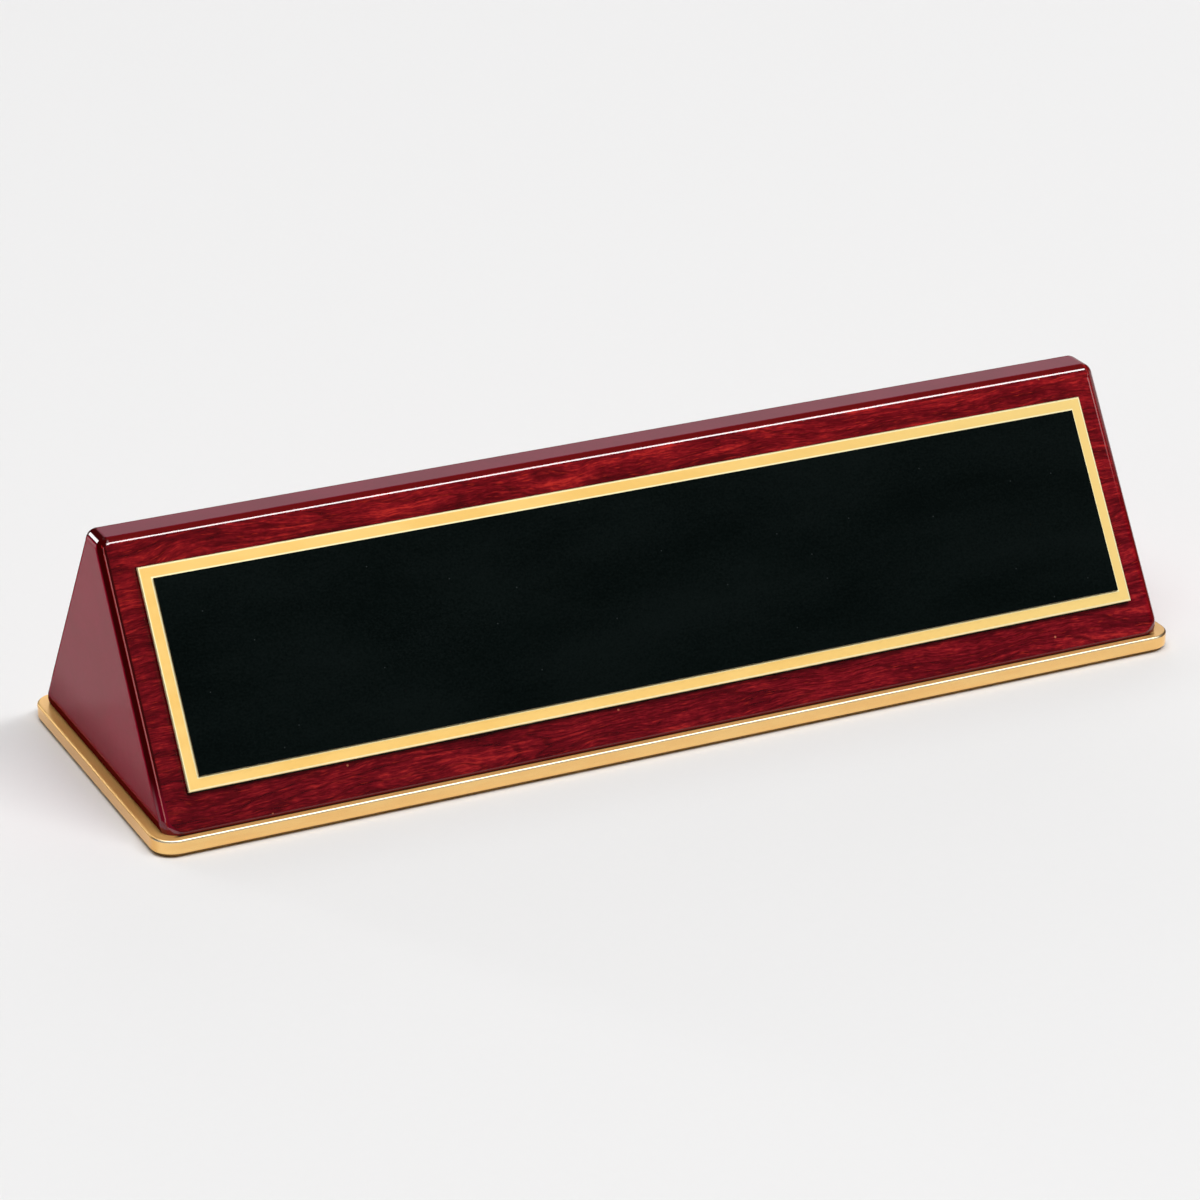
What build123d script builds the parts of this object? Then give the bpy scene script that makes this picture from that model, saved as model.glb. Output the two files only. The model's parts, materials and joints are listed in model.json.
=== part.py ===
from build123d import *
import os
from math import atan2, cos, hypot, radians, sin, tan

# Desk name plate: a lacquered wooden wedge on a polished metal base, with a
# black panel on a gold border plate stuck to its sloping front.
# Millimetres. +X runs along the plate, the front faces -Y, +Z is up, and the
# origin is under the middle of the felt, where the object stands.

# Wedge block, measured to the sharp corners before its edges are rounded
wedge_length = 215.2
wedge_foot_depth = 68.8
wedge_ridge_depth = 7.0
wedge_height = 47.8
ridge_end_radius = 2.3
foot_end_radius = 4.0
face_edge_radius = 2.2
foot_sanding = 2.2
veneer_thickness = 0.5

# Base plate and the felt under it
base_end_margin = 2.0
base_side_margin = 1.4
base_thickness = 2.9
base_corner_radius = 4.6
base_top_round = 0.45
base_lower_bevel = 0.25
felt_thickness = 0.6
felt_inset = 0.6

# Gold border plate and black name panel on the front
plate_side_margin = 6.0
plate_foot_margin = 7.6
plate_ridge_margin = 6.4
plate_thickness = 0.5
plate_edge_bevel = 0.15
border_width = 2.55
panel_thickness = 0.4
panel_edge_bevel = 0.1
border_tape_thickness = 0.8
border_tape_inset = 1.5
panel_tape_thickness = 0.1
panel_tape_inset = 0.8

# Countersunk wood screws that hold the base to the block
screw_end_distance = 34.0
screw_row_spacing = 34.0
screw_length = 16.0
screw_head_diameter = 6.6
screw_head_rim = 0.3
screw_head_angle = 90.0
screw_head_sink = 0.25
screw_shank_diameter = 3.0
screw_point_length = 3.0
screw_point_diameter = 0.5
screw_hole_clearance = 0.3
pilot_clearance = 0.05
pilot_extra_depth = 1.5
recess_width = 0.9
recess_span = 3.2
recess_depth = 1.4

# Heights of the faces where the pieces meet
base_bottom = felt_thickness
base_top = base_bottom + base_thickness
wedge_top = base_top + wedge_height
base_underside = Plane(origin=(0, 0, base_bottom), x_dir=(1, 0, 0), z_dir=(0, 0, -1))
block_underside = Plane(origin=(0, 0, base_top), x_dir=(1, 0, 0), z_dir=(0, 0, -1))

# Slope of the front and back faces
slope_run = (wedge_foot_depth - wedge_ridge_depth) / 2
slope_length = hypot(slope_run, wedge_height)
slope_angle = atan2(wedge_height, slope_run)
front_face = Plane(
    origin=(0, -wedge_foot_depth / 2, base_top),
    x_dir=(1, 0, 0),
    z_dir=(0, -sin(slope_angle), cos(slope_angle)),
)
rear_face = Plane(
    origin=(0, wedge_foot_depth / 2, base_top),
    x_dir=(-1, 0, 0),
    z_dir=(0, sin(slope_angle), cos(slope_angle)),
)
front_glue_line = front_face.offset(-veneer_thickness)
rear_glue_line = rear_face.offset(-veneer_thickness)

# Outlines that follow the block
base_length = wedge_length + 2 * base_end_margin
base_depth = wedge_foot_depth + 2 * base_side_margin
plate_length = wedge_length - 2 * plate_side_margin
plate_height = slope_length - plate_foot_margin - plate_ridge_margin
plate_centre = plate_foot_margin + plate_height / 2
panel_length = plate_length - 2 * border_width
panel_height = plate_height - 2 * border_width
screw_column_spacing = wedge_length - 2 * screw_end_distance

# Planes on which the stuck-on layers start, one on top of the other
plate_middle = front_face.from_local_coords((0, plate_centre, 0))
border_tape_face = Plane(origin=plate_middle, x_dir=front_face.x_dir, z_dir=front_face.z_dir)
border_plate_face = border_tape_face.offset(border_tape_thickness)
panel_tape_face = border_plate_face.offset(plate_thickness)
name_panel_face = panel_tape_face.offset(panel_tape_thickness)

# Whole wedge block: the edges at the two ends are rounded first, then the
# outlines of the sloping faces, and the foot is sanded flat into the rounding
with BuildPart() as block:
    foot_half = wedge_foot_depth / 2 + foot_sanding / tan(slope_angle)
    ridge_half = wedge_ridge_depth / 2
    with BuildSketch(Plane.YZ) as section:
        with BuildLine() as outline:
            Polyline(
                (-foot_half, base_top - foot_sanding),
                (foot_half, base_top - foot_sanding),
                (ridge_half, wedge_top),
                (-ridge_half, wedge_top),
                close=True,
            )
        make_face()
    extrude(amount=wedge_length / 2, both=True)
    fillet(block.edges().filter_by(Axis.Y).group_by(Axis.Z)[-1], radius=ridge_end_radius)
    fillet(block.edges().filter_by(Axis.Y).group_by(Axis.Z)[0], radius=foot_end_radius)
    fillet(block.faces().sort_by(Axis.Y)[0].edges(), radius=face_edge_radius)
    fillet(block.faces().sort_by(Axis.Y)[-1].edges(), radius=face_edge_radius)
    split(bisect_by=block_underside, keep=Keep.BOTTOM)

# Veneers: the outermost layer of the block's sloping faces, so that their edges
# are rounded with it
with BuildPart() as front_veneer:
    add(block.part)
    split(bisect_by=front_glue_line, keep=Keep.TOP)

with BuildPart() as rear_veneer:
    add(block.part)
    split(bisect_by=rear_glue_line, keep=Keep.TOP)

# Core: the rest of the block, with pilot holes for the screws in its underside
with BuildPart() as wedge_core:
    pilot_depth = screw_length + screw_head_sink - base_thickness + pilot_extra_depth
    add(block.part)
    split(bisect_by=front_glue_line, keep=Keep.BOTTOM)
    split(bisect_by=rear_glue_line, keep=Keep.BOTTOM)
    with Locations(block_underside):
        with GridLocations(screw_column_spacing, screw_row_spacing, 2, 2):
            Hole(radius=screw_shank_diameter / 2 + pilot_clearance, depth=pilot_depth)

# Base plate: rounded corners, a rounded upper edge and countersinks below,
# in which the screw heads sit just under the surface
with BuildPart() as base_plate:
    head_slope = tan(radians(screw_head_angle / 2))
    countersink_radius = screw_head_diameter / 2 + (screw_head_sink + screw_head_rim) * head_slope
    with BuildSketch(Plane.XY.offset(base_bottom)) as base_outline:
        RectangleRounded(base_length, base_depth, base_corner_radius)
    extrude(amount=base_thickness)
    fillet(base_plate.faces().sort_by(Axis.Z)[-1].edges(), radius=base_top_round)
    chamfer(base_plate.faces().sort_by(Axis.Z)[0].edges(), length=base_lower_bevel)
    with Locations(base_underside):
        with GridLocations(screw_column_spacing, screw_row_spacing, 2, 2):
            CounterSinkHole(
                radius=screw_shank_diameter / 2 + screw_hole_clearance,
                counter_sink_radius=countersink_radius,
                counter_sink_angle=screw_head_angle,
            )

# One screw on the Z axis, head down, from its half section
with BuildPart() as screw:
    head_face = base_bottom + screw_head_sink
    head_radius = screw_head_diameter / 2
    shank_radius = screw_shank_diameter / 2
    cone_start = head_face + screw_head_rim
    cone_end = cone_start + (head_radius - shank_radius) / tan(radians(screw_head_angle / 2))
    screw_tip = head_face + screw_length
    with BuildSketch(Plane.XZ) as half_section:
        with BuildLine() as screw_outline:
            Polyline(
                (0, head_face),
                (head_radius, head_face),
                (head_radius, cone_start),
                (shank_radius, cone_end),
                (shank_radius, screw_tip - screw_point_length),
                (screw_point_diameter / 2, screw_tip),
                (0, screw_tip),
                close=True,
            )
        make_face()
    revolve(axis=Axis.Z)
    with BuildSketch(Plane.XY.offset(head_face)) as cross_recess:
        Rectangle(recess_span, recess_width)
        Rectangle(recess_width, recess_span)
    extrude(amount=recess_depth, mode=Mode.SUBTRACT)

with BuildPart() as base_screws:
    with GridLocations(screw_column_spacing, screw_row_spacing, 2, 2):
        add(screw.part)

# Felt pad under the base
with BuildPart() as felt_pad:
    with BuildSketch() as felt_outline:
        RectangleRounded(
            base_length - 2 * felt_inset,
            base_depth - 2 * felt_inset,
            base_corner_radius - felt_inset,
        )
    extrude(amount=felt_thickness)

# Adhesive tape that holds the gold plate off the wood by its thickness
with BuildPart() as border_tape:
    with BuildSketch(border_tape_face) as border_tape_outline:
        Rectangle(plate_length - 2 * border_tape_inset, plate_height - 2 * border_tape_inset)
    extrude(amount=border_tape_thickness)

# Gold plate, with a fine bevel round its face
with BuildPart() as border_plate:
    with BuildSketch(border_plate_face) as border_plate_outline:
        Rectangle(plate_length, plate_height)
    extrude(amount=plate_thickness)
    plate_front = border_plate.faces().filter_by(border_plate_face).sort_by(Axis.Z)[-1]
    chamfer(plate_front.edges(), length=plate_edge_bevel)

# Adhesive film between the two plates
with BuildPart() as panel_tape:
    with BuildSketch(panel_tape_face) as panel_tape_outline:
        Rectangle(panel_length - 2 * panel_tape_inset, panel_height - 2 * panel_tape_inset)
    extrude(amount=panel_tape_thickness)

# Black name panel, which leaves the gold plate showing as a border
with BuildPart() as name_panel:
    with BuildSketch(name_panel_face) as name_panel_outline:
        Rectangle(panel_length, panel_height)
    extrude(amount=panel_thickness)
    panel_front = name_panel.faces().filter_by(name_panel_face).sort_by(Axis.Z)[-1]
    chamfer(panel_front.edges(), length=panel_edge_bevel)

# Every piece gets its name and a file of its own
pieces = {
    "felt_pad": felt_pad,
    "base_screws": base_screws,
    "base_plate": base_plate,
    "wedge_core": wedge_core,
    "front_veneer": front_veneer,
    "rear_veneer": rear_veneer,
    "border_tape": border_tape,
    "border_plate": border_plate,
    "panel_tape": panel_tape,
    "name_panel": name_panel,
}
os.makedirs("parts", exist_ok=True)
for name, piece in pieces.items():
    piece.part.label = name
    export_step(piece.part, f"parts/{name}.step")
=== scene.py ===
import json
from math import ceil, cos, pi, radians, sin

import bmesh
import bpy
from mathutils import Matrix, Vector, noise


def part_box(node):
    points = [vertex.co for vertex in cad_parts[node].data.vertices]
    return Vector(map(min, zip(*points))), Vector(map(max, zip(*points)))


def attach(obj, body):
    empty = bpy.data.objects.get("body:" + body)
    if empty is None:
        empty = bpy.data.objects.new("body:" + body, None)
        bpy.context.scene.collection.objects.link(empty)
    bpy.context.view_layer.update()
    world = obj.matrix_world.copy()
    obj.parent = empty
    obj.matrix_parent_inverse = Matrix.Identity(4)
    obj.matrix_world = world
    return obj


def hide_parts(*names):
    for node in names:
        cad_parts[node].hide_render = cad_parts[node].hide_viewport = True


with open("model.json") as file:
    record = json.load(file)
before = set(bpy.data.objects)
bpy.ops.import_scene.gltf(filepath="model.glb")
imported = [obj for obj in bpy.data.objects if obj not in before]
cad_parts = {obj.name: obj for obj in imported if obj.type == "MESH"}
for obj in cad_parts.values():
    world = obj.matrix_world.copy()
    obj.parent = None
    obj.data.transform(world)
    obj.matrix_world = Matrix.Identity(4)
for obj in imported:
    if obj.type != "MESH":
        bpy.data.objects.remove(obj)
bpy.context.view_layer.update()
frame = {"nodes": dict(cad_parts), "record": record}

# Desk name plate: materials, felt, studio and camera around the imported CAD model.
# Blender works in metres, +Z is up and the front faces -Y. Textures, and values whose
# names end in mm, are in millimetres. Colours are linear red, green and blue.

BODY = "root"
MM = 1000.0
ALONG_X = Vector((1.0, 0.0, 0.0))
ALONG_Y = Vector((0.0, 1.0, 0.0))
UPWARD = Vector((0.0, 0.0, 1.0))
nodes_by_name = frame["nodes"]

# Direction of the sloping front: the name face mount gives its outward normal
name_face = next(mount for mount in frame["record"]["mounts"] if mount["name"] == "name_face")
front_normal = Vector(name_face["axis"]).normalized()
up_slope = Vector((0.0, front_normal.z, -front_normal.y))


def span_along(node, direction):
    """Lowest and highest place of a CAD node along a direction, in millimetres."""
    places = [vertex.co.dot(direction) * MM for vertex in nodes_by_name[node].data.vertices]
    return min(places), max(places)


def half_length_of(node):
    """Distance from the middle of the object to the right end of a CAD node, in millimetres."""
    return span_along(node, ALONG_X)[1]


# Node helpers. A value is a number, or the output socket of another node

MIX_FACTOR = 0
MIX_FIRST_COLOUR = 6
MIX_SECOND_COLOUR = 7
MIX_RESULT = 2
SPECK_CORE = 0.6


def set_inputs(tree, node, inputs):
    """Sets a node's inputs. A value that is a socket is linked."""
    for name, value in inputs.items():
        if isinstance(value, bpy.types.NodeSocket):
            tree.links.new(value, node.inputs[name])
        else:
            node.inputs[name].default_value = value


def add_node(tree, kind, inputs, **settings):
    """Adds a node, with its settings made before its inputs."""
    node = tree.nodes.new(kind)
    for name, value in settings.items():
        setattr(node, name, value)
    set_inputs(tree, node, inputs)
    return node


def math_of(tree, operation, first, second=0.0):
    return add_node(tree, "ShaderNodeMath", {0: first, 1: second}, operation=operation).outputs[0]


def sum_of(tree, first, *others):
    for other in others:
        first = math_of(tree, "ADD", first, other)
    return first


def product_of(tree, first, *others):
    for other in others:
        first = math_of(tree, "MULTIPLY", first, other)
    return first


def difference_of(tree, first, second):
    return math_of(tree, "SUBTRACT", first, second)


def absolute(tree, value):
    return math_of(tree, "ABSOLUTE", value)


def greater_of(tree, first, second):
    return math_of(tree, "MAXIMUM", first, second)


def weighted(tree, *parts):
    """Sum of values, each times its own weight."""
    return sum_of(tree, *[product_of(tree, value, weight) for value, weight in parts])


def dot_with(tree, vector, direction):
    node = add_node(tree, "ShaderNodeVectorMath", {0: vector, 1: direction}, operation="DOT_PRODUCT")
    return node.outputs["Value"]


def stretched(tree, vector, factors):
    node = add_node(tree, "ShaderNodeVectorMath", {0: vector, 1: factors}, operation="MULTIPLY")
    return node.outputs["Vector"]


def combined(tree, x, y, z):
    return add_node(tree, "ShaderNodeCombineXYZ", {"X": x, "Y": y, "Z": z}).outputs["Vector"]


def separated(tree, vector):
    return add_node(tree, "ShaderNodeSeparateXYZ", {"Vector": vector}).outputs


def smooth_step(tree, value, zero_at, one_at):
    """0 as far as the first place, 1 beyond the second, and smooth between them."""
    node = add_node(
        tree,
        "ShaderNodeMapRange",
        {"Value": value, "From Min": zero_at, "From Max": one_at},
        interpolation_type="SMOOTHSTEP",
    )
    return node.outputs["Result"]


def band(tree, value, start, full, fade, end):
    """Rises from 0 at start to 1 at full, and falls from 1 at fade to 0 at end."""
    rising = smooth_step(tree, value, zero_at=start, one_at=full)
    return product_of(tree, rising, smooth_step(tree, value, zero_at=end, one_at=fade))


def scaled(tree, value, at_zero, at_one):
    """Turns a value from 0 to 1 into one between the two given ends."""
    node = add_node(tree, "ShaderNodeMapRange", {"Value": value, "To Min": at_zero, "To Max": at_one})
    return node.outputs["Result"]


def with_alpha(colour):
    """A colour as a node's input takes it."""
    if isinstance(colour, bpy.types.NodeSocket):
        return colour
    return (*colour, 1.0)


def mixed(tree, factor, first, second):
    """Colour mix: the first colour at 0, the second at 1."""
    inputs = {
        MIX_FACTOR: factor,
        MIX_FIRST_COLOUR: with_alpha(first),
        MIX_SECOND_COLOUR: with_alpha(second),
    }
    return add_node(tree, "ShaderNodeMix", inputs, data_type="RGBA").outputs[MIX_RESULT]


def dimmed(tree, colour, light):
    """A colour times one amount of light."""
    return stretched(tree, colour, combined(tree, light, light, light))


def ramp_of(tree, value, *stops):
    """Colour ramp through stops, each a place from 0 to 1 and a colour."""
    node = add_node(tree, "ShaderNodeValToRGB", {"Fac": value})
    elements = node.color_ramp.elements
    for element, (place, colour) in zip(elements, (stops[0], stops[-1])):
        element.position = place
        element.color = with_alpha(colour)
    for place, colour in stops[1:-1]:
        elements.new(place).color = with_alpha(colour)
    return node.outputs["Color"]


def noise_of(tree, vector, per_mm, detail=2.0, roughness=0.5):
    """Noise with about so many features to the millimetre."""
    node = add_node(
        tree,
        "ShaderNodeTexNoise",
        {"Vector": vector, "Scale": per_mm, "Detail": detail, "Roughness": roughness},
    )
    return node.outputs["Fac"]


def grain_of(tree, vector, size_mm, detail=2.0, roughness=0.5):
    """Noise whose features are about as long as the three sizes."""
    factors = [1.0 / size for size in size_mm]
    return noise_of(tree, stretched(tree, vector, factors), 1.0, detail, roughness)


def specks_of(tree, x, y, spacing_mm, radius_mm):
    """Sparse round dots in a plane, about one in each square of the spacing."""
    node = add_node(
        tree,
        "ShaderNodeTexVoronoi",
        {"Vector": combined(tree, x, y, 0.0), "Scale": 1.0 / spacing_mm, "Randomness": 1.0},
        voronoi_dimensions="2D",
    )
    reach = radius_mm / spacing_mm
    return smooth_step(tree, node.outputs["Distance"], zero_at=reach, one_at=reach * SPECK_CORE)


def bumped(tree, height, strength, distance_mm):
    node = add_node(
        tree,
        "ShaderNodeBump",
        {"Height": height, "Strength": strength, "Distance": distance_mm / MM},
    )
    return node.outputs["Normal"]


def position_mm(tree):
    place = tree.nodes.new("ShaderNodeTexCoord").outputs["Object"]
    return stretched(tree, place, (MM, MM, MM))


def surface_normal(tree):
    return tree.nodes.new("ShaderNodeNewGeometry").outputs["Normal"]


def facing_of(tree):
    """How far the surface faces the right end, the back and up, each from -1 to 1."""
    return separated(tree, surface_normal(tree))


def slope_place(tree):
    """Distance along the wedge, up the slope of either long face, and depth."""
    x, y, z = separated(tree, position_mm(tree))
    inward = product_of(tree, absolute(tree, y), -up_slope.y)
    rise = product_of(tree, z, up_slope.z)
    return x, sum_of(tree, rise, inward), y


def share_along(tree, x, node):
    """-1 at the left end of a CAD node, 0 at its middle, 1 at its right end."""
    return math_of(tree, "DIVIDE", x, half_length_of(node))


def share_up(tree, up, node):
    """0 at the lower edge of a CAD node on the slope, 1 at its upper edge."""
    low, high = span_along(node, up_slope)
    return math_of(tree, "DIVIDE", difference_of(tree, up, low), high - low)


def new_material(name):
    """A material with a principled shader joined to its output."""
    material = bpy.data.materials.new(name)
    material.use_nodes = True
    tree = material.node_tree
    tree.nodes.clear()
    output = tree.nodes.new("ShaderNodeOutputMaterial")
    shader = tree.nodes.new("ShaderNodeBsdfPrincipled")
    tree.links.new(shader.outputs["BSDF"], output.inputs["Surface"])
    return material, tree, shader


# Lacquer and stain, which the veneers share with the block. Here and below, a pair of
# colours is the dark and the light tone of one surface

# Painted shade and painted light: the same edge stain, dark where the edges face the left end and lighter
# elsewhere
SHADED_RED = (0.050, 0.0008, 0.0010)
LIT_RED = (0.150, 0.0055, 0.0060)
# Painted sheen: brighter violet red on the low corners of the veneers and the block
CORNER_SHEEN_RED = (0.190, 0.0020, 0.0150)


def lacquer(weight, roughness, ior):
    """Clear gloss coat over wood that has no shine of its own. It may be thinner in places."""
    return {
        "Specular IOR Level": 0.0,
        "Coat Weight": weight,
        "Coat Roughness": roughness,
        "Coat IOR": ior,
    }


def thinned(tree, *places):
    """Weight of 1, less a share wherever a place is 1. Each place comes with its share."""
    weight = 1.0
    for place, share in places:
        weight = product_of(tree, weight, scaled(tree, place, at_zero=1.0, at_one=1.0 - share))
    return weight


def edge_red(tree):
    """Edge stain round the edges, in painted shade where they face the left end and painted light
    everywhere else.
    """
    across = facing_of(tree)[0]
    return mixed(tree, smooth_step(tree, across, zero_at=-0.20, one_at=-0.05), SHADED_RED, LIT_RED)


# Veneers

FIGURE_REDS = (
    (0.0, (0.072, 0.0008, 0.0036)),
    (0.4, (0.140, 0.0030, 0.0072)),
    (0.7, (0.225, 0.0064, 0.0110)),
    (1.0, (0.42, 0.020, 0.018)),
)
RING_RED = (0.050, 0.0009, 0.0028)
FIBRE_RED = (0.44, 0.022, 0.012)
PORE_RED = (0.038, 0.0010, 0.0022)
# Painted highlight: thin light line down the veneers' edges
PAINTED_HIGHLIGHT_RED = (0.300, 0.0100, 0.0110)
FILLER_PINK = (0.62, 0.17, 0.09)
# Painted shade on the wood in the gap under the gold plate's long edges
PAINTED_GAP_SHADE = (0.004, 0.0006, 0.0006)
RING_COUNT = 9.0
RING_STRENGTH = 0.55
FIBRE_STRENGTH = 0.5
PORE_STRENGTH = 0.4
FILLER_STRENGTH = 0.8
# Painted light: how much lighter the wood grows towards the right end
RIGHT_END_PAINTED_LIGHT = 0.13


def grain_place(tree, x, up, depth):
    """Place in the grain, which runs along the wedge and wanders up and down."""
    place = combined(tree, x, up, depth)
    wander = grain_of(tree, place, size_mm=(48.0, 18.0, 50.0))
    ripple = grain_of(tree, place, size_mm=(7.0, 5.0, 10.0))
    shift = sum_of(
        tree,
        scaled(tree, wander, at_zero=-5.0, at_one=5.0),
        scaled(tree, ripple, at_zero=-0.6, at_one=0.6),
    )
    return combined(tree, x, sum_of(tree, up, shift), depth)


def figured_red(tree, place, grain, flecks):
    """The wood's figure: blotches, streaks and flecks along the grain, and curl across it."""
    blotches = grain_of(tree, grain, size_mm=(13.0, 2.8, 20.0))
    streaks = grain_of(tree, grain, size_mm=(12.0, 0.7, 10.0), detail=4.0, roughness=0.6)
    curl = grain_of(tree, place, size_mm=(2.4, 7.0, 10.0))
    tone = weighted(tree, (blotches, 0.27), (streaks, 0.34), (flecks, 0.29), (curl, 0.10))
    return ramp_of(tree, smooth_step(tree, tone, zero_at=0.36, one_at=0.66), *FIGURE_REDS)


def ring_share(tree, grain):
    """Dark growth rings, which the cut along the wood draws out into long wavy lines."""
    growth = grain_of(tree, grain, size_mm=(60.0, 7.0, 60.0), roughness=0.4)
    season = math_of(tree, "FRACT", product_of(tree, growth, RING_COUNT))
    rings = band(tree, season, start=0.30, full=0.50, fade=0.54, end=0.62)
    return product_of(tree, rings, RING_STRENGTH)


def fibre_share(tree, grain):
    """Short bright fibres."""
    fibres = grain_of(tree, grain, size_mm=(2.8, 0.26, 6.0))
    return product_of(tree, smooth_step(tree, fibres, zero_at=0.60, one_at=0.74), FIBRE_STRENGTH)


def pore_share(tree, grain):
    """Fine dark pores."""
    pores = grain_of(tree, grain, size_mm=(4.5, 0.28, 8.0))
    return product_of(tree, smooth_step(tree, pores, zero_at=0.60, one_at=0.70), PORE_STRENGTH)


def filler_share(tree, x, up):
    """A few pale specks of filler."""
    specks = specks_of(tree, x, up, spacing_mm=26.0, radius_mm=0.28)
    return product_of(tree, specks, FILLER_STRENGTH)


def painted_light_gradient(tree, colour, rise, along):
    """Painted light: wood lighter towards the ridge and the right end, and more violet at the foot."""
    upward = scaled(tree, rise, at_zero=1.10, at_one=1.46)
    light = sum_of(tree, upward, product_of(tree, along, RIGHT_END_PAINTED_LIGHT))
    violet = product_of(tree, light, scaled(tree, rise, at_zero=1.10, at_one=0.84))
    return stretched(tree, colour, combined(tree, light, light, violet))


def beyond_outline(tree, x, up, node):
    """How far a place lies outside a plate's ends and its long edges, in millimetres."""
    low, high = span_along(node, up_slope)
    from_middle = absolute(tree, difference_of(tree, up, (low + high) / 2))
    beyond_end = difference_of(tree, absolute(tree, x), half_length_of(node))
    beyond_edge = difference_of(tree, from_middle, (high - low) / 2)
    return beyond_end, beyond_edge


def plate_gap_shade_share(tree, x, up, depth):
    """1 on the front along the gold plate's long edges: painted shade for the dark gap there, where
    little light gets.
    """
    beyond_end, beyond_edge = beyond_outline(tree, x, up, "border_plate")
    beside = band(tree, beyond_edge, start=-1.4, full=-1.2, fade=0.12, end=0.34)
    between_ends = smooth_step(tree, beyond_end, zero_at=0.2, one_at=-0.2)
    in_front = smooth_step(tree, depth, zero_at=1.0, one_at=-1.0)
    return product_of(tree, beside, between_ends, in_front)


def long_face_share(tree):
    """1 on the flat of either sloping face, 0 where its edges round over."""
    outward, upward = facing_of(tree)[1:]
    facing = weighted(tree, (absolute(tree, outward), -front_normal.y), (upward, front_normal.z))
    return smooth_step(tree, facing, zero_at=0.925, one_at=0.972)


def highlight_line_share(tree, rise):
    """1 on a thin painted highlight line: all down the left edge, and high on the right one."""
    across = facing_of(tree)[0]
    left = band(tree, across, start=-0.60, full=-0.56, fade=-0.52, end=-0.48)
    right = band(tree, across, start=0.06, full=0.10, fade=0.16, end=0.22)
    upper_right = product_of(tree, right, smooth_step(tree, rise, zero_at=0.3, one_at=0.8))
    return greater_of(tree, left, upper_right)


def veneer_edge_red(tree, rise):
    """Stain round a veneer's edges, with a painted sheen at its lower left corner."""
    across = facing_of(tree)[0]
    low_left = product_of(
        tree,
        smooth_step(tree, across, zero_at=-0.10, one_at=-0.30),
        smooth_step(tree, rise, zero_at=0.20, one_at=0.08),
    )
    return mixed(tree, low_left, edge_red(tree), CORNER_SHEEN_RED)


def veneer_gloss(tree, rise):
    """Lacquer on the veneers: gone at the upper corners and low on the right edge, thin at the foot."""
    normal = surface_normal(tree)
    across = separated(tree, normal)[0]
    sideways = absolute(tree, across)
    towards_ridge = dot_with(tree, normal, up_slope)
    corner = product_of(tree, sideways, greater_of(tree, towards_ridge, 0.0))
    upper_corner = smooth_step(tree, corner, zero_at=0.02, one_at=0.07)
    foot = product_of(
        tree,
        smooth_step(tree, towards_ridge, zero_at=-0.20, one_at=-0.40),
        smooth_step(tree, sideways, zero_at=0.35, one_at=0.10),
    )
    low_right = product_of(
        tree,
        smooth_step(tree, across, zero_at=0.02, one_at=0.06),
        smooth_step(tree, towards_ridge, zero_at=-0.30, one_at=-0.12),
        smooth_step(tree, rise, zero_at=0.95, one_at=0.45),
    )
    return thinned(tree, (upper_corner, 1.0), (foot, 0.6), (low_right, 1.0))


def veneer_material():
    """Figured red-brown veneer under clear gloss lacquer."""
    material, tree, shader = new_material("rosewood_veneer_gloss")
    x, up, depth = slope_place(tree)
    place = combined(tree, x, up, depth)
    grain = grain_place(tree, x, up, depth)
    flecks = grain_of(tree, grain, size_mm=(1.8, 0.30, 5.0), roughness=0.6)
    along = share_along(tree, x, "front_veneer")
    rise = share_up(tree, up, "front_veneer")

    colour = figured_red(tree, place, grain, flecks)
    colour = mixed(tree, ring_share(tree, grain), colour, RING_RED)
    colour = mixed(tree, fibre_share(tree, grain), colour, FIBRE_RED)
    colour = mixed(tree, pore_share(tree, grain), colour, PORE_RED)
    # Painted light: the wood grows lighter up the slope and towards the right end
    colour = painted_light_gradient(tree, colour, rise, along)
    colour = mixed(tree, plate_gap_shade_share(tree, x, up, depth), colour, PAINTED_GAP_SHADE)
    colour = mixed(tree, filler_share(tree, x, up), colour, FILLER_PINK)
    colour = mixed(tree, long_face_share(tree), veneer_edge_red(tree, rise), colour)
    colour = mixed(tree, highlight_line_share(tree, rise), colour, PAINTED_HIGHLIGHT_RED)

    roughness = scaled(tree, flecks, at_zero=0.4, at_one=0.6)
    set_inputs(tree, shader, {"Base Color": colour, "Roughness": roughness})
    set_inputs(tree, shader, lacquer(veneer_gloss(tree, rise), roughness=0.03, ior=1.8))
    return material


# Block between the veneers

END_REDS = ((0.310, 0.0012, 0.019), (0.355, 0.0018, 0.025))
TOP_REDS = ((0.150, 0.0015, 0.018), (0.175, 0.0025, 0.023))
FOOT_RED = (0.115, 0.0025, 0.0025)


def under_foot_share(tree, height):
    """1 at the very foot of the block, where its ends round under."""
    return smooth_step(tree, height, zero_at=2.15, one_at=2.0)


def end_corner_share(tree):
    """1 where the block's ends round into its sloping faces."""
    outward = facing_of(tree)[1]
    return smooth_step(tree, absolute(tree, outward), zero_at=0.12, one_at=0.30)


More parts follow.
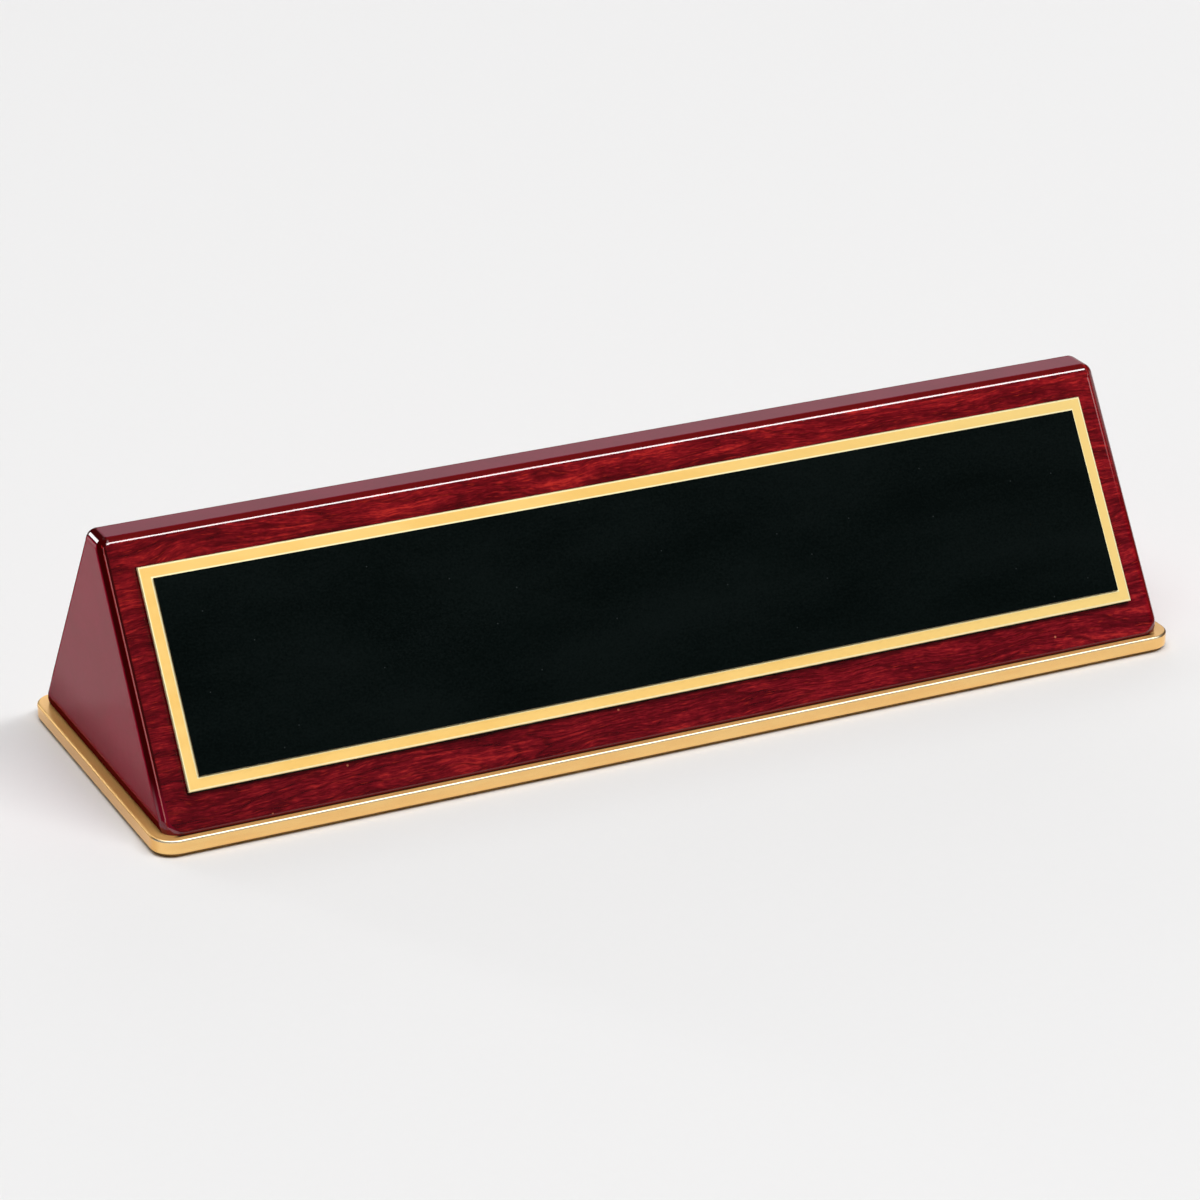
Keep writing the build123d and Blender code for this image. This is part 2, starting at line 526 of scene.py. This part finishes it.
def block_gloss(tree, height):
    """Lacquer on the block: full round its corners, thin on its flats, by the veneers and at the foot."""
    across, outward, upward = facing_of(tree)
    flat = greater_of(tree, absolute(tree, across), upward)
    beside_veneer = product_of(
        tree,
        smooth_step(tree, absolute(tree, outward), zero_at=0.06, one_at=0.13),
        smooth_step(tree, across, zero_at=0.3, one_at=-0.1),
        smooth_step(tree, height, zero_at=4.0, one_at=9.0),
    )
    weight = thinned(
        tree,
        (smooth_step(tree, flat, zero_at=0.93, one_at=0.99), 0.55),
        (beside_veneer, 0.97),
    )
    foot_weight = thinned(
        tree,
        (under_foot_share(tree, height), 0.85),
        (smooth_step(tree, height, zero_at=13.0, one_at=1.0), 0.5),
        (smooth_step(tree, height, zero_at=3.4, one_at=2.6), 0.35),
    )
    return product_of(tree, weight, greater_of(tree, foot_weight, end_corner_share(tree)))


def end_face_share(tree):
    """1 on the block's end faces, which reach further over its edges at the ridge."""
    across, outward, upward = facing_of(tree)
    above_veneer = weighted(tree, (upward, 1.0), (absolute(tree, outward), -0.65))
    reach = weighted(
        tree,
        (absolute(tree, across), 1.0),
        (greater_of(tree, above_veneer, 0.0), 0.2),
    )
    return smooth_step(tree, reach, zero_at=0.93, one_at=0.985)


def block_material():
    """Stained block under the same lacquer: even red flats, deep red round the edges."""
    material, tree, shader = new_material("stained_block_gloss")
    place = position_mm(tree)
    height = difference_of(tree, separated(tree, place)[2], span_along("wedge_core", UPWARD)[0])
    clouds = grain_of(tree, place, size_mm=(16.0, 16.0, 16.0))
    fibres = grain_of(tree, place, size_mm=(1.2, 1.2, 1.2))
    blend = weighted(tree, (clouds, 0.75), (fibres, 0.25))
    tone = smooth_step(tree, blend, zero_at=0.35, one_at=0.65)

    # Painted shade: the end faces darken towards the foot, which rounds under them in deep red
    above_foot = smooth_step(tree, height, zero_at=1.0, one_at=13.0)
    foot_light = scaled(tree, above_foot, at_zero=0.8, at_one=1.0)
    end_red = dimmed(tree, mixed(tree, tone, *END_REDS), foot_light)
    top_red = mixed(tree, tone, *TOP_REDS)
    on_top = smooth_step(tree, facing_of(tree)[2], zero_at=0.98, one_at=0.998)
    # Painted sheen on the low corners, where the ends round into the sloping faces
    near_foot = smooth_step(tree, height, zero_at=10.0, one_at=4.0)
    low_corner = product_of(tree, end_corner_share(tree), near_foot)
    colour = mixed(tree, end_face_share(tree), edge_red(tree), end_red)
    colour = mixed(tree, on_top, colour, top_red)
    colour = mixed(tree, under_foot_share(tree, height), colour, FOOT_RED)
    colour = mixed(tree, low_corner, colour, CORNER_SHEEN_RED)

    roughness = scaled(tree, fibres, at_zero=0.4, at_one=0.6)
    set_inputs(tree, shader, {"Base Color": colour, "Roughness": roughness})
    set_inputs(tree, shader, lacquer(block_gloss(tree, height), roughness=0.06, ior=1.5))
    return material


# Polished base plate

SIDE_GOLDS = ((0.98, 0.598, 0.222), (1.0, 0.655, 0.258))
# Painted shade: darker gold on the base's ends
END_SHADE_GOLD = (0.84, 0.475, 0.150)
TOP_GOLDS = ((0.93, 0.520, 0.160), (0.97, 0.575, 0.190))
# Painted shade and painted reflection: darker gold on the top near the right end
RIGHT_TOP_SHADE_GOLD = (0.66, 0.375, 0.110)
# Painted highlight: pale gold along the long rims
LONG_RIM_HIGHLIGHT_GOLD = (1.0, 0.86, 0.60)
# Painted shade and painted reflection: dark gold on the rim at the right end
RIGHT_RIM_SHADE_GOLD = (0.24, 0.120, 0.035)
# Painted shade in the seam between the base and the block
SEAM_SHADE_BROWN = (0.02, 0.007, 0.004)
POLISH_ROUGHNESS = 0.10


def block_seam_shade_share(tree, x, y):
    """1 on the base along the block's long sides: painted shade for the dark seam between the two."""
    half_depth = -span_along("front_veneer", ALONG_Y)[0]
    beyond = difference_of(tree, absolute(tree, y), half_depth)
    beside = band(tree, beyond, start=-0.4, full=-0.2, fade=0.28, end=0.50)
    to_end = difference_of(tree, half_length_of("wedge_core"), absolute(tree, x))
    return product_of(tree, beside, smooth_step(tree, to_end, zero_at=1.5, one_at=3.0))


def polished_gold_material():
    """Gold plating: mirror polished round the sides, softer on the top and over its rim, with painted
    shade and painted highlights in places.
    """
    material, tree, shader = new_material("polished_gold_plating")
    place = position_mm(tree)
    x, y = separated(tree, place)[:2]
    clouds = grain_of(tree, place, size_mm=(14.0, 9.0, 3.0), detail=3.0)
    marks = grain_of(tree, place, size_mm=(4.0, 0.4, 0.25), detail=3.0)
    blend = weighted(tree, (clouds, 0.7), (marks, 0.3))
    tone = smooth_step(tree, blend, zero_at=0.36, one_at=0.64)

    # Where the surface lies: round the sides, on the top, or on the rounded rim between them
    across, outward, upward = facing_of(tree)
    above_side = smooth_step(tree, upward, zero_at=0.08, one_at=0.25)
    on_top = smooth_step(tree, upward, zero_at=0.90, one_at=0.98)
    on_rim = difference_of(tree, above_side, on_top)
    on_long_side = smooth_step(tree, absolute(tree, outward), zero_at=0.15, one_at=0.4)
    on_end = smooth_step(tree, absolute(tree, across), zero_at=0.75, one_at=0.97)
    on_right = smooth_step(tree, across, zero_at=0.10, one_at=0.40)
    to_right_end = difference_of(tree, half_length_of("base_plate"), x)
    near_right_end = smooth_step(tree, to_right_end, zero_at=6.1, one_at=1.6)

    # Painted shade on the ends, near the right end of the top, on the right rim and in the seam; a
    # painted highlight on the long rims
    sides = mixed(tree, on_end, mixed(tree, tone, *SIDE_GOLDS), END_SHADE_GOLD)
    top = mixed(tree, near_right_end, mixed(tree, tone, *TOP_GOLDS), RIGHT_TOP_SHADE_GOLD)
    colour = mixed(tree, on_top, sides, top)
    colour = mixed(tree, product_of(tree, on_rim, on_long_side), colour, LONG_RIM_HIGHLIGHT_GOLD)
    colour = mixed(tree, product_of(tree, on_rim, on_right), colour, RIGHT_RIM_SHADE_GOLD)
    colour = mixed(tree, block_seam_shade_share(tree, x, y), colour, SEAM_SHADE_BROWN)
    softness = weighted(tree, (marks, 0.07), (on_rim, 0.24), (on_top, 0.18))
    set_inputs(
        tree,
        shader,
        {
            "Base Color": colour,
            "Metallic": scaled(tree, on_top, at_zero=1.0, at_one=0.5),
            "Roughness": sum_of(tree, softness, POLISH_ROUGHNESS),
            "Normal": bumped(tree, marks, strength=0.03, distance_mm=0.02),
        },
    )
    return material


# Gold border plate

SATIN_GOLDS = ((0.97, 0.635, 0.195), (1.0, 0.685, 0.235))
# Painted light: paler satin gold at the right end
RIGHT_LIT_SATIN_GOLD = (1.0, 0.740, 0.275)
# Painted highlight: pale gold along the plate's outer and inner edges
PLATE_EDGE_HIGHLIGHT_GOLD = (1.0, 0.90, 0.54)


def border_highlight_share(tree, x, up):
    """1 on the painted highlights along the outer edge of the gold plate and beside the panel, 0 between
    them.
    """
    shares = []
    for node in ("border_plate", "name_panel"):
        outside = greater_of(tree, *beyond_outline(tree, x, up, node))
        shares.append(smooth_step(tree, absolute(tree, outside), zero_at=0.45, one_at=0.25))
    return greater_of(tree, *shares)


def satin_gold_material():
    """Fine satin gold sheet, with painted highlights along its edges."""
    material, tree, shader = new_material("satin_gold_sheet")
    x, up, depth = slope_place(tree)
    place = combined(tree, x, up, depth)
    along = share_along(tree, x, "border_plate")
    rise = share_up(tree, up, "border_plate")
    brushing = grain_of(tree, place, size_mm=(14.0, 0.15, 1.0), detail=3.0)
    haze = grain_of(tree, place, size_mm=(18.0, 6.0, 10.0))
    satin = mixed(tree, smooth_step(tree, haze, zero_at=0.35, one_at=0.65), *SATIN_GOLDS)
    # Painted light towards the right end
    satin = mixed(tree, smooth_step(tree, along, zero_at=0.0, one_at=1.1), satin, RIGHT_LIT_SATIN_GOLD)
    # Painted shade: the satin gold is dimmer towards the plate's upper edge
    satin = dimmed(tree, satin, scaled(tree, rise, at_zero=1.0, at_one=0.90))
    set_inputs(
        tree,
        shader,
        {
            "Base Color": mixed(tree, border_highlight_share(tree, x, up), satin, PLATE_EDGE_HIGHLIGHT_GOLD),
            "Metallic": 1.0,
            "Roughness": scaled(tree, brushing, at_zero=0.48, at_one=0.56),
            "Normal": bumped(tree, brushing, strength=0.08, distance_mm=0.02),
        },
    )
    return material


# Black panel

ENAMEL_BLACKS = ((0.0010, 0.0026, 0.0023), (0.0042, 0.0071, 0.0066))
DUST_GREY = (0.05, 0.06, 0.06)
CUT_EDGE_BROWN = (0.10, 0.045, 0.012)
DUST_STRENGTH = 0.5


def black_enamel_material():
    """Black enamelled brass: a soft sheen on the face, bare brown metal at the cut edge."""
    material, tree, shader = new_material("black_enamel_sheet")
    x, up, depth = slope_place(tree)
    place = combined(tree, x, up, depth)
    grain = grain_of(tree, place, size_mm=(0.45, 0.45, 0.45), detail=3.0, roughness=0.6)
    haze = grain_of(tree, place, size_mm=(30.0, 12.0, 20.0))
    blend = weighted(tree, (haze, 0.4), (grain, 0.6))
    face = mixed(tree, smooth_step(tree, blend, zero_at=0.32, one_at=0.68), *ENAMEL_BLACKS)
    dust = specks_of(tree, x, up, spacing_mm=17.0, radius_mm=0.16)
    face = mixed(tree, product_of(tree, dust, DUST_STRENGTH), face, DUST_GREY)
    facing = dot_with(tree, surface_normal(tree), front_normal)
    on_face = smooth_step(tree, facing, zero_at=0.2, one_at=0.6)
    set_inputs(
        tree,
        shader,
        {
            "Base Color": mixed(tree, on_face, CUT_EDGE_BROWN, face),
            "Roughness": scaled(tree, grain, at_zero=0.18, at_one=0.25),
            "Specular IOR Level": 0.05,
            "Normal": bumped(tree, grain, strength=0.03, distance_mm=0.02),
        },
    )
    return material


# Felt, tapes and screws

FELT_BROWNS = ((0.25, 0.140, 0.048), (0.44, 0.260, 0.090))
FOAM_BLACKS = ((0.010, 0.009, 0.008), (0.03, 0.026, 0.022))
FILM_BROWNS = ((0.06, 0.03, 0.01), (0.12, 0.07, 0.02))
ZINC_GREYS = ((0.50, 0.51, 0.53), (0.62, 0.62, 0.62))


def felt_material():
    """Pressed golden brown felt."""
    material, tree, shader = new_material("pressed_felt")
    place = position_mm(tree)
    fibres = noise_of(tree, place, per_mm=2.6, detail=4.0, roughness=0.7)
    clumps = noise_of(tree, place, per_mm=0.5)
    blend = weighted(tree, (fibres, 0.7), (clumps, 0.3))
    tone = smooth_step(tree, blend, zero_at=0.35, one_at=0.65)
    set_inputs(
        tree,
        shader,
        {
            "Base Color": mixed(tree, tone, *FELT_BROWNS),
            "Roughness": 0.95,
            "Specular IOR Level": 0.1,
            "Normal": bumped(tree, fibres, strength=0.8, distance_mm=0.2),
        },
    )
    return material


def tape_material(name, dark, light):
    """Foam or film adhesive, seen only at its edge."""
    material, tree, shader = new_material(name)
    cells = noise_of(tree, position_mm(tree), per_mm=3.0)
    set_inputs(
        tree,
        shader,
        {
            "Base Color": mixed(tree, cells, dark, light),
            "Roughness": scaled(tree, cells, at_zero=0.6, at_one=0.8),
            "Normal": bumped(tree, cells, strength=0.3, distance_mm=0.05),
        },
    )
    return material


def screw_material():
    """Zinc plated steel with turning marks."""
    material, tree, shader = new_material("zinc_plated_steel")
    marks = grain_of(tree, position_mm(tree), size_mm=(1.0, 1.0, 0.17), detail=3.0)
    set_inputs(
        tree,
        shader,
        {
            "Base Color": mixed(tree, marks, *ZINC_GREYS),
            "Metallic": 1.0,
            "Roughness": scaled(tree, marks, at_zero=0.25, at_one=0.42),
            "Normal": bumped(tree, marks, strength=0.2, distance_mm=0.03),
        },
    )
    return material


def dress(node, material):
    """Gives a CAD node its material."""
    mesh = nodes_by_name[node].data
    mesh.materials.clear()
    mesh.materials.append(material)


veneer = veneer_material()
dress("front_veneer", veneer)
dress("rear_veneer", veneer)
dress("wedge_core", block_material())
dress("base_plate", polished_gold_material())
dress("border_plate", satin_gold_material())
dress("name_panel", black_enamel_material())
dress("border_tape", tape_material("foam_tape", *FOAM_BLACKS))
dress("panel_tape", tape_material("film_tape", *FILM_BROWNS))
dress("base_screws", screw_material())


# Felt lining under the base, with a soft uneven edge

FELT_CORNER_MM = 4.0
FELT_STEP_MM = 0.6
FELT_BULGE_MM = 0.14
FELT_FUZZ_MM = 0.09
FELT_LAYERS = 6
FUZZ_PER_MM = 1.3
FUZZ_HEIGHT_FACTOR = 3.0


def rounded_outline(half_length, half_depth, radius, step):
    """Points and outward directions round a rectangle with rounded corners."""
    outline = []
    # Each corner's side in X and in Y, and the angle at which its arc starts
    corners = ((1, 1, 0), (-1, 1, 90), (-1, -1, 180), (1, -1, 270))
    arc_steps = ceil(radius * pi / 2 / step)
    for index, (side_x, side_y, start) in enumerate(corners):
        centre = Vector((side_x * (half_length - radius), side_y * (half_depth - radius)))
        for count in range(arc_steps + 1):
            angle = radians(start + 90.0 * count / arc_steps)
            outward = Vector((cos(angle), sin(angle)))
            outline.append((centre + outward * radius, outward))
        next_x, next_y = corners[(index + 1) % len(corners)][:2]
        next_centre = Vector((next_x * (half_length - radius), next_y * (half_depth - radius)))
        run_start = outline[-1][0]
        run_end = next_centre + outward * radius
        run_steps = ceil((run_end - run_start).length / step)
        for count in range(1, run_steps):
            outline.append((run_start.lerp(run_end, count / run_steps), outward))
    return outline


def felt_ring(shape, outline, height, bulge):
    """One layer of points round the felt's edge, moved in and out by its fuzz."""
    ring = []
    for place, outward in outline:
        fuzz_place = Vector((place.x, place.y, height * FUZZ_HEIGHT_FACTOR)) * FUZZ_PER_MM
        fuzz = noise.noise(fuzz_place) * FELT_FUZZ_MM
        edge = place + outward * (bulge + fuzz)
        ring.append(shape.verts.new((edge.x / MM, edge.y / MM, height / MM)))
    return ring


def make_felt_lining():
    low, high = (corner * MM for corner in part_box("felt_pad"))
    outline = rounded_outline(high.x, high.y, FELT_CORNER_MM, FELT_STEP_MM)
    shape = bmesh.new()
    rings = []
    for layer in range(FELT_LAYERS + 1):
        share = layer / FELT_LAYERS
        height = low.z + (high.z - low.z) * share
        bulge = FELT_BULGE_MM * (sin(pi * share) - 1.0)
        rings.append(felt_ring(shape, outline, height, bulge))
    for below, above in zip(rings, rings[1:]):
        for index in range(len(below)):
            after = (index + 1) % len(below)
            shape.faces.new((below[index], below[after], above[after], above[index]))
    shape.faces.new(list(reversed(rings[0])))
    shape.faces.new(rings[-1])
    mesh = bpy.data.meshes.new("felt_lining")
    shape.to_mesh(mesh)
    shape.free()
    lining = bpy.data.objects.new("felt_lining", mesh)
    bpy.context.scene.collection.objects.link(lining)
    mesh.materials.append(felt_material())
    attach(lining, BODY)
    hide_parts("felt_pad")


make_felt_lining()


# Studio

FLOOR_SIZE = 24.0
FLOOR_DROP = 0.00005
FLOOR_GREYS = ((0.852, 0.847, 0.847), (0.860, 0.855, 0.855))
LAMP_DISTANCE = 10.0
WATTS_PER_RADIANCE = 4.0
LEANING = Vector((0.547, 0.0, 0.837))
WHITE = (1.0, 1.0, 1.0)
ROOM_LIGHT = 0.015


def make_floor():
    half = FLOOR_SIZE / 2
    corners = [(x * half, y * half, -FLOOR_DROP) for x, y in ((-1, -1), (1, -1), (1, 1), (-1, 1))]
    mesh = bpy.data.meshes.new("floor")
    mesh.from_pydata(corners, [], [(0, 1, 2, 3)])
    floor = bpy.data.objects.new("floor", mesh)
    bpy.context.scene.collection.objects.link(floor)
    material, tree, shader = new_material("pale_floor")
    grain = noise_of(tree, position_mm(tree), per_mm=0.5)
    set_inputs(
        tree,
        shader,
        {
            "Base Color": mixed(tree, grain, *FLOOR_GREYS),
            "Roughness": 0.9,
            "Specular IOR Level": 0.0,
        },
    )
    mesh.materials.append(material)


def glow(tree, direction, towards, core, edge, radiance):
    """Soft round patch of light in the room, full in its core and gone at its edge, both in degrees."""
    aligned = dot_with(tree, direction, Vector(towards).normalized())
    share = smooth_step(tree, aligned, zero_at=cos(radians(edge)), one_at=cos(radians(core)))
    return product_of(tree, share, radiance)


def make_world():
    """Dark room with a pale wall behind on the right, other soft patches of light and a faint front."""
    world = bpy.data.worlds.new("studio")
    bpy.context.scene.world = world
    world.use_nodes = True
    tree = world.node_tree
    tree.nodes.clear()
    direction = tree.nodes.new("ShaderNodeTexCoord").outputs["Generated"]
    wall = glow(tree, direction, (0.45, 0.84, 0.29), core=10.0, edge=25.0, radiance=1.35)
    right = glow(tree, direction, (0.97, 0.05, 0.10), core=8.0, edge=30.0, radiance=0.6)
    ceiling = glow(tree, direction, (-0.17, -0.05, 0.98), core=12.0, edge=28.0, radiance=3.15)
    rear = glow(tree, direction, (-0.05, 0.65, 0.75), core=3.0, edge=10.0, radiance=6.8)
    front = glow(tree, direction, (0.2, -0.8, 0.5), core=20.0, edge=70.0, radiance=0.02)
    strength = sum_of(tree, wall, right, ceiling, rear, front, ROOM_LIGHT)
    inputs = {"Color": with_alpha(WHITE), "Strength": strength}
    background = add_node(tree, "ShaderNodeBackground", inputs)
    output = tree.nodes.new("ShaderNodeOutputWorld")
    tree.links.new(background.outputs["Background"], output.inputs["Surface"])


def make_softbox(name, towards, long_axis, length_degrees, width_degrees, radiance):
    """Far rectangular softbox aimed at the object, sized by the angles that it fills."""
    away = Vector(towards).normalized()
    along = (long_axis - away * long_axis.dot(away)).normalized()
    across = away.cross(along)
    light = bpy.data.lights.new(name, "AREA")
    light.shape = "RECTANGLE"
    light.size = 2 * LAMP_DISTANCE * sin(radians(length_degrees) / 2)
    light.size_y = 2 * LAMP_DISTANCE * sin(radians(width_degrees) / 2)
    light.energy = WATTS_PER_RADIANCE * radiance * light.size * light.size_y
    lamp = bpy.data.objects.new(name, light)
    lamp.location = away * LAMP_DISTANCE
    lamp.rotation_euler = Matrix((along, across, away)).transposed().to_euler()
    bpy.context.scene.collection.objects.link(lamp)


make_floor()
make_world()
make_softbox(
    "key",
    towards=(0.27, -0.443, 0.855),
    long_axis=ALONG_X,
    length_degrees=42.0,
    width_degrees=11.5,
    radiance=9.4,
)
make_softbox(
    "right_strip",
    towards=(0.67, -0.56, 0.49),
    long_axis=UPWARD,
    length_degrees=24.0,
    width_degrees=5.0,
    radiance=1.5,
)
make_softbox(
    "left_strip",
    towards=(-0.74, -0.49, 0.46),
    long_axis=UPWARD,
    length_degrees=24.0,
    width_degrees=4.0,
    radiance=1.1,
)
make_softbox(
    "back_left",
    towards=(-0.405, 0.874, 0.265),
    long_axis=LEANING,
    length_degrees=13.6,
    width_degrees=6.0,
    radiance=8.0,
)


# Camera, found by fitting the plate's corners and the outline in the photograph

CAMERA_TARGET_MM = (-2.62, 0.0, 18.04)
CAMERA_AZIMUTH_DEGREES = -25.664
CAMERA_ELEVATION_DEGREES = 23.718
CAMERA_DISTANCE_MM = 865.77
CAMERA_SENSOR_MM = 36.0
CAMERA_NEAREST = 0.01
CAMERA_FARTHEST = 50.0
FOCAL_LENGTH_PIXELS = 4367.9
IMAGE_PIXELS = 1200


def make_camera():
    data = bpy.data.cameras.new("camera")
    data.sensor_width = CAMERA_SENSOR_MM
    data.sensor_fit = "HORIZONTAL"
    data.lens = FOCAL_LENGTH_PIXELS / IMAGE_PIXELS * CAMERA_SENSOR_MM
    data.clip_start = CAMERA_NEAREST
    data.clip_end = CAMERA_FARTHEST
    azimuth = radians(CAMERA_AZIMUTH_DEGREES)
    elevation = radians(CAMERA_ELEVATION_DEGREES)
    back = Vector((sin(azimuth) * cos(elevation), -cos(azimuth) * cos(elevation), sin(elevation)))
    camera = bpy.data.objects.new("camera", data)
    camera.location = (Vector(CAMERA_TARGET_MM) + back * CAMERA_DISTANCE_MM) / MM
    camera.rotation_euler = back.to_track_quat("Z", "Y").to_euler()
    bpy.context.scene.collection.objects.link(camera)
    bpy.context.scene.camera = camera


make_camera()
bpy.context.scene.view_settings.view_transform = "Standard"
